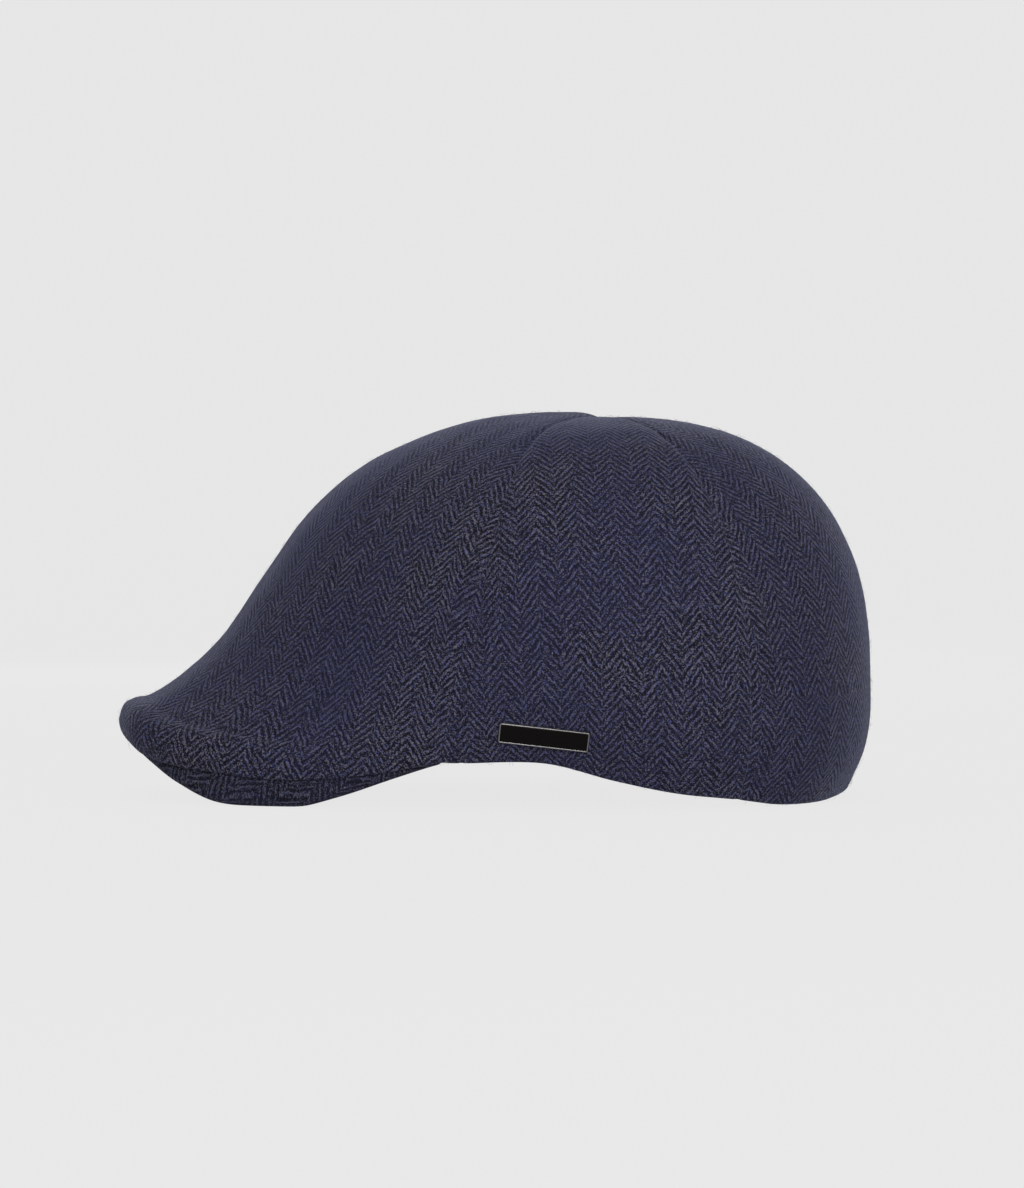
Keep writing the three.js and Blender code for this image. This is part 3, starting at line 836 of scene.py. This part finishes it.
def wool(name, look):
    material = bpy.data.materials.new(name)
    material.use_nodes = True
    tree = material.node_tree
    shader = tree.nodes["Principled BSDF"]
    n = Nodes(tree)
    cloth = tree.nodes.new("ShaderNodeUVMap")
    cloth.uv_map = "cloth"
    group = tree.nodes.new("ShaderNodeGroup")
    group.node_tree = weaveGroup
    tree.links.new(cloth.outputs["UV"], group.inputs["Cloth"])
    for socket, key in weaveInputs.items():
        group.inputs[socket].default_value = weave[key]
    stroke, height, heather = (group.outputs[k] for k in ("Stroke", "Height", "Heather"))
    place = tree.nodes.new("ShaderNodeTexCoord")
    patch, _ = n.noise(place.outputs["Object"], 26.0, 3)
    blue = n.math("ADD", heather, n.math("MULTIPLY", n.math("SUBTRACT", patch, 0.5), 0.3))
    blue = n.span(blue, 0.4, 0.6)
    light = n.mixColour(blue, look["lightGrey"], look["lightBlue"])
    dark = n.mixColour(blue, look["darkGrey"], look["darkBlue"])
    colour = n.mixColour(stroke, dark, light)
    hazy = n.mixColour(0.3, colour, look["haze"])
    colour = n.mixColour(n.span(patch, 0.35, 0.65), colour, hazy)
    fleck, _ = n.noise(cloth.outputs["UV"], 1.5, 1)
    colour = n.mixColour(n.span(fleck, 0.7, 0.78), colour, look["fleck"])
    tree.links.new(colour, shader.inputs["Base Color"])
    shader.inputs["Roughness"].default_value = 0.9
    shader.inputs["Specular IOR Level"].default_value = 0.12
    shader.inputs["Sheen Weight"].default_value = look["sheen"]
    shader.inputs["Sheen Roughness"].default_value = 0.3
    shader.inputs["Sheen Tint"].default_value = look["sheenTint"]
    bump = tree.nodes.new("ShaderNodeBump")
    bump.inputs["Strength"].default_value = 0.75
    bump.inputs["Distance"].default_value = 0.00038
    tree.links.new(height, bump.inputs["Height"])
    tree.links.new(bump.outputs["Normal"], shader.inputs["Normal"])
    return material


woolLook = {
    "lightGrey": (0.158, 0.15, 0.2, 1),
    "lightBlue": (0.088, 0.097, 0.24, 1),
    "darkGrey": (0.005, 0.0045, 0.0075, 1),
    "darkBlue": (0.0045, 0.0047, 0.015, 1),
    "haze": (0.027, 0.027, 0.053, 1),
    "fleck": (0.24, 0.235, 0.29, 1),
    "sheen": 0.27,
    "sheenTint": (0.62, 0.66, 0.95, 1),
}
crownWool = wool("navyHerringboneWool", woolLook)
# the peak's copy of the crown wool, with its light tones darkened: painted shade for the peak's band under the
# front fold
shadedPeakLook = dict(woolLook, lightGrey=(0.09, 0.088, 0.122, 1), lightBlue=(0.066, 0.07, 0.148, 1))
shadedPeakWool = wool("peakWoolPaintedShade", shadedPeakLook)


def fibreWool():
    material = bpy.data.materials.new("fibreWool")
    material.use_nodes = True
    shader = material.node_tree.nodes["Principled BSDF"]
    n = Nodes(material.node_tree)
    place = material.node_tree.nodes.new("ShaderNodeTexCoord")
    kind, _ = n.noise(place.outputs["Object"], 260.0, 1)
    colour = n.mixColour(n.span(kind, 0.42, 0.62), (0.022, 0.022, 0.042, 1), (0.11, 0.11, 0.17, 1))
    material.node_tree.links.new(colour, shader.inputs["Base Color"])
    shader.inputs["Roughness"].default_value = 0.7
    return material


def steel():
    material = bpy.data.materials.new("polishedSteel")
    material.use_nodes = True
    tree = material.node_tree
    shader = tree.nodes["Principled BSDF"]
    n = Nodes(tree)
    place = tree.nodes.new("ShaderNodeTexCoord")
    smudge, _ = n.noise(place.outputs["Object"], 420.0, 3, 0.6)
    tree.links.new(n.span(smudge, 0.3, 0.7, 0.3, 0.42), shader.inputs["Roughness"])
    colour = n.mixColour(smudge, (0.36, 0.345, 0.335, 1), (0.5, 0.48, 0.465, 1))
    tree.links.new(colour, shader.inputs["Base Color"])
    shader.inputs["Metallic"].default_value = 1.0
    return material


def enamel():
    material = bpy.data.materials.new("blackEnamel")
    material.use_nodes = True
    tree = material.node_tree
    shader = tree.nodes["Principled BSDF"]
    n = Nodes(tree)
    place = tree.nodes.new("ShaderNodeTexCoord")
    dust, _ = n.noise(place.outputs["Object"], 900.0, 2, 0.6)
    tree.links.new(n.span(dust, 0.3, 0.75, 0.06, 0.2), shader.inputs["Roughness"])
    colour = n.mixColour(dust, (0.0025, 0.002, 0.0018, 1), (0.005, 0.0042, 0.0038, 1))
    tree.links.new(colour, shader.inputs["Base Color"])
    shader.inputs["Specular IOR Level"].default_value = 0.12
    return material


def paint(thing, material):
    thing.data.materials.clear()
    thing.data.materials.append(material)


for piece in cloths.values():
    paint(piece, crownWool)
paint(peakPiece, shadedPeakWool)
paint(fibres, fibreWool())
paint(badgeFrame, steel())
paint(badgeEnamel, enamel())
print("materials made")

# floor, light and camera
studio = {
    "floorRadius": 1.9,
    "wallHeight": 2.6,
    "bend": 0.9,
    "grey": 0.04,
    "glow": 0.777,  # as the lens sees it
    "bounce": 0.3,  # as the cap sees it
    "air": 0.32,
    "lens": 99.63,  # a 0.365 mm step for each of 1188 picture rows, 1.2 m away
    "stand": (0.00639, -1.2, 0.07333),
}


def backdrop():
    bm = bmesh.new()
    corner = (studio["floorRadius"], studio["bend"])
    outline = [(0, 0)] + [(r * corner[0], 0) for r in (0.25, 0.5, 0.75, 1.0)]
    for step in range(1, 13):
        angle = step / 12 * math.pi / 2
        outline.append((corner[0] + corner[1] * math.sin(angle), corner[1] * (1 - math.cos(angle))))
    outline.append((corner[0] + corner[1], studio["wallHeight"]))
    verts = [bm.verts.new((x, 0, z)) for x, z in outline]
    edges = [bm.edges.new(pair) for pair in zip(verts, verts[1:])]
    bmesh.ops.spin(
        bm, geom=verts + edges, cent=(0, 0, 0), axis=(0, 0, 1), angle=math.tau, steps=96, use_merge=True
    )
    bmesh.ops.remove_doubles(bm, verts=bm.verts, dist=0.0001)
    bmesh.ops.recalc_face_normals(bm, faces=bm.faces)
    if sum(face.normal.z for face in bm.faces) < 0:
        bmesh.ops.reverse_faces(bm, faces=bm.faces)
    mesh = bpy.data.meshes.new("backdrop")
    bm.to_mesh(mesh)
    bm.free()
    mesh.shade_smooth()
    thing = bpy.data.objects.new("backdrop", mesh)
    scene.collection.objects.link(thing)
    material = bpy.data.materials.new("paleFloor")
    material.use_nodes = True
    shader = material.node_tree.nodes["Principled BSDF"]
    n = Nodes(material.node_tree)
    rays = material.node_tree.nodes.new("ShaderNodeLightPath")
    side = material.node_tree.nodes.new("ShaderNodeNewGeometry")
    extra = studio["glow"] - studio["bounce"]
    glow = n.math("MULTIPLY_ADD", rays.outputs["Is Camera Ray"], extra, studio["bounce"])
    material.node_tree.links.new(glow, shader.inputs["Emission Strength"])
    material.node_tree.links.new(n.math("SUBTRACT", 1.0, side.outputs["Backfacing"]), shader.inputs["Alpha"])
    shader.inputs["Base Color"].default_value = (studio["grey"],) * 3 + (1,)
    shader.inputs["Emission Color"].default_value = (1, 1, 1, 1)
    shader.inputs["Roughness"].default_value = 0.95
    shader.inputs["Specular IOR Level"].default_value = 0.0
    thing.data.materials.append(material)


backdrop()


def softbox(name, place, target, size, power):
    lamp = bpy.data.lights.new(name, "AREA")
    lamp.shape = "RECTANGLE"
    lamp.size, lamp.size_y = size
    lamp.energy = power
    thing = bpy.data.objects.new(name, lamp)
    thing.location = place
    thing.rotation_mode = "QUATERNION"
    thing.rotation_quaternion = (Vector(target) - Vector(place)).to_track_quat("-Z", "Y")
    scene.collection.objects.link(thing)


softbox("overhead", (0.0, 0.0, 1.6), (0, 0, 0), (1.4, 1.4), 3)
softbox("front", (0.3, -1.9, 0.45), (0, 0, 0.07), (1.2, 1.0), 27)
softbox("rear", (-0.3, 1.8, 0.7), (0, 0, 0.07), (1.4, 1.2), 7)

world = bpy.data.worlds.new("studioAir")
world.use_nodes = True
world.node_tree.nodes["Background"].inputs["Color"].default_value = (1, 1, 1, 1)
world.node_tree.nodes["Background"].inputs["Strength"].default_value = studio["air"]
scene.world = world
scene.view_settings.view_transform = "Standard"
scene.view_settings.look = "None"
scene.view_settings.exposure = 0
scene.view_settings.gamma = 1

lens = bpy.data.cameras.new("camera")
lens.sensor_width = 36
lens.lens = studio["lens"]
camera = bpy.data.objects.new("camera", lens)
camera.location = studio["stand"]
camera.rotation_euler = (math.pi / 2, 0, 0)
scene.collection.objects.link(camera)
scene.camera = camera
print("studio lit")
